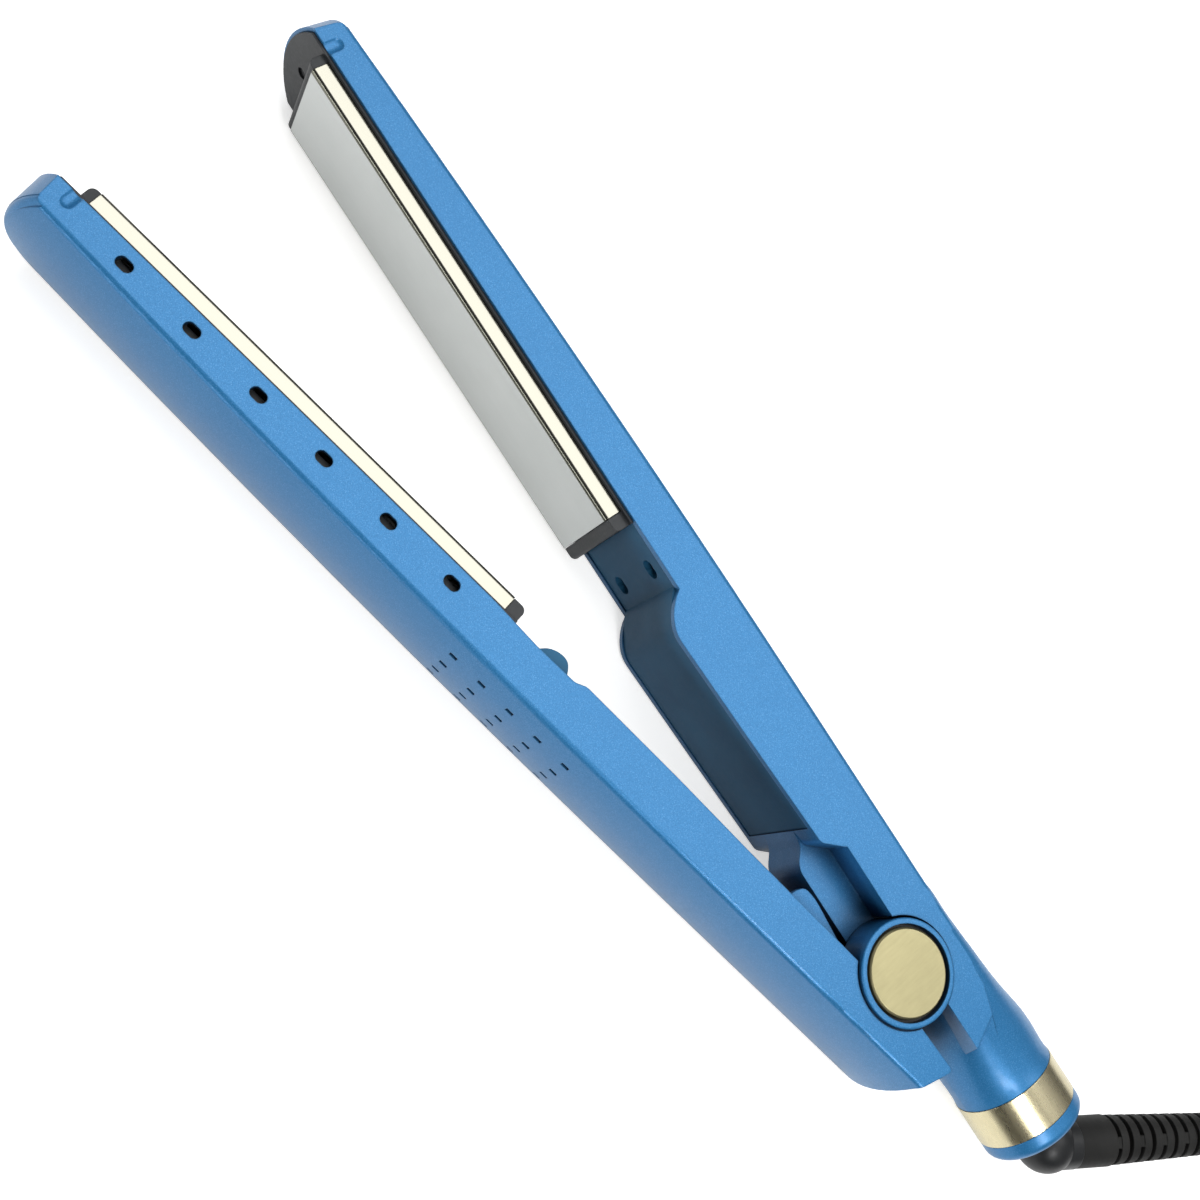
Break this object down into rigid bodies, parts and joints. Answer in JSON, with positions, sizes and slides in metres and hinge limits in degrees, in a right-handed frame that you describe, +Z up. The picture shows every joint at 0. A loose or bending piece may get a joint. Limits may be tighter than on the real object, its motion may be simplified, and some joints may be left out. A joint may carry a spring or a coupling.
{
  "type": "hair straightening iron",
  "caption": "Handheld flat-plate hair straightener: two hinged slim arms with floating heated plates, round hinge discs and a swivel cord at the tail barrel.",
  "frame": {"origin": "on the hinge axis, in the flat face of the lower hinge disc that the iron rests on", "axes": "+X along the main arm to its tip, +Y from the main arm towards the lever arm, +Z up along the hinge axis"},
  "size_m": [0.4101, 0.1912, 0.0364],
  "materials": {
    "blue_shell": "satin metallic blue paint on moulded plastic",
    "plate_titanium": "fine satin titanium-grey coating",
    "carrier_black": "matt heat-resistant plastic",
    "ceramic_white": "unglazed alumina",
    "spring_steel": "plain spring steel",
    "silicone_grey": "matt silicone",
    "lead_tape": "glass-fibre sleeve",
    "champagne_metal": "champagne anodised, fine brushed",
    "screw_steel": "blackened steel",
    "wire_sleeve": "silicone insulation",
    "board_green": "solder mask",
    "component_black": "moulded component bodies",
    "bush_bronze": "sintered bronze",
    "washer_white": "low-friction plastic",
    "pin_steel": "ground steel",
    "seat_black": "matt plastic",
    "contact_brass": "bright brass",
    "swivel_black": "satin moulded plastic",
    "cord_rubber": "matt flexible rubber",
    "core_insulation": "insulated copper cores",
    "switch_black": "satin plastic",
    "lens_red": "translucent red plastic"
  },
  "bodies": {
    "main_arm": {"main_arm_housing": "blue_shell", "main_arm_cover": "blue_shell", "main_plate_carrier": "carrier_black", "main_float_pads": "silicone_grey", "main_cover_screws": "screw_steel", "main_arm_wires": "wire_sleeve", "control_board": "board_green", "board_components": "component_black", "hinge_bush": "bush_bronze", "hinge_washers": "washer_white", "return_spring": "spring_steel", "barrel_band": "champagne_metal", "barrel_end_cap": "blue_shell", "swivel_bush": "washer_white", "brush_contacts": "contact_brass", "brush_holder": "component_black"},
    "lever_arm": {"lever_arm_housing": "blue_shell", "lever_arm_cover": "blue_shell", "lever_plate_carrier": "carrier_black", "lever_float_pads": "silicone_grey", "lever_cover_screws": "screw_steel", "lever_arm_wires": "wire_sleeve", "hinge_pin": "pin_steel", "hinge_pin_clip": "spring_steel", "rocker_bezel": "switch_black", "dial_potentiometer": "component_black", "indicator_lens": "lens_red", "upper_hinge_disc": "champagne_metal", "lower_hinge_disc": "champagne_metal", "upper_disc_seat": "seat_black", "lower_disc_seat": "seat_black"},
    "main_plate": {"main_heating_plate": "plate_titanium", "main_ceramic_heater": "ceramic_white", "main_heater_clamp": "spring_steel", "main_heater_leads": "lead_tape"},
    "lever_plate": {"lever_heating_plate": "plate_titanium", "lever_ceramic_heater": "ceramic_white", "lever_heater_clamp": "spring_steel", "lever_heater_leads": "lead_tape", "thermal_fuse": "spring_steel", "temperature_sensor": "ceramic_white"},
    "rocker": {"power_rocker": "switch_black"},
    "dial": {"temperature_dial": "switch_black"},
    "cord_swivel": {"swivel_elbow": "swivel_black", "elbow_retainer": "spring_steel", "slip_rings": "contact_brass", "cord_boot": "cord_rubber", "mains_cord": "cord_rubber", "cord_cores": "core_insulation"}
  },
  "joints": [
    {"name": "arm_hinge", "type": "hinge", "parent": "main_arm", "child": "lever_arm", "pos_m": [0, 0, 0.0182], "axis": [0, 0, 1], "range_deg": [-13.3, 0], "stiffness_Nm_per_rad": 0.15},
    {"name": "main_plate_float", "type": "slide", "parent": "main_arm", "child": "main_plate", "axis": [0, -1, 0], "range_m": [0, 0.0008], "stiffness_N_per_m": 6000, "deforming": ["main_float_pads"]},
    {"name": "lever_plate_float", "type": "slide", "parent": "lever_arm", "child": "lever_plate", "axis": [-0.23, 0.9732, 0], "range_m": [0, 0.0008], "stiffness_N_per_m": 6000, "deforming": ["lever_float_pads"]},
    {"name": "rocker_tilt", "type": "hinge", "parent": "lever_arm", "child": "rocker", "pos_m": [0.07986, 0.0273, 0.0182], "axis": [0, 0, 1], "range_deg": [0, 14]},
    {"name": "dial_turn", "type": "hinge", "parent": "lever_arm", "child": "dial", "pos_m": [0.05683, 0.02042, 0.0182], "axis": [0.23, -0.9732, 0], "range_deg": [0, 270]},
    {"name": "cord_turn", "type": "hinge", "parent": "main_arm", "child": "cord_swivel", "pos_m": [-0.0653, -0.0155, 0.0182], "axis": [1, 0, 0], "continuous": true}
  ]
}
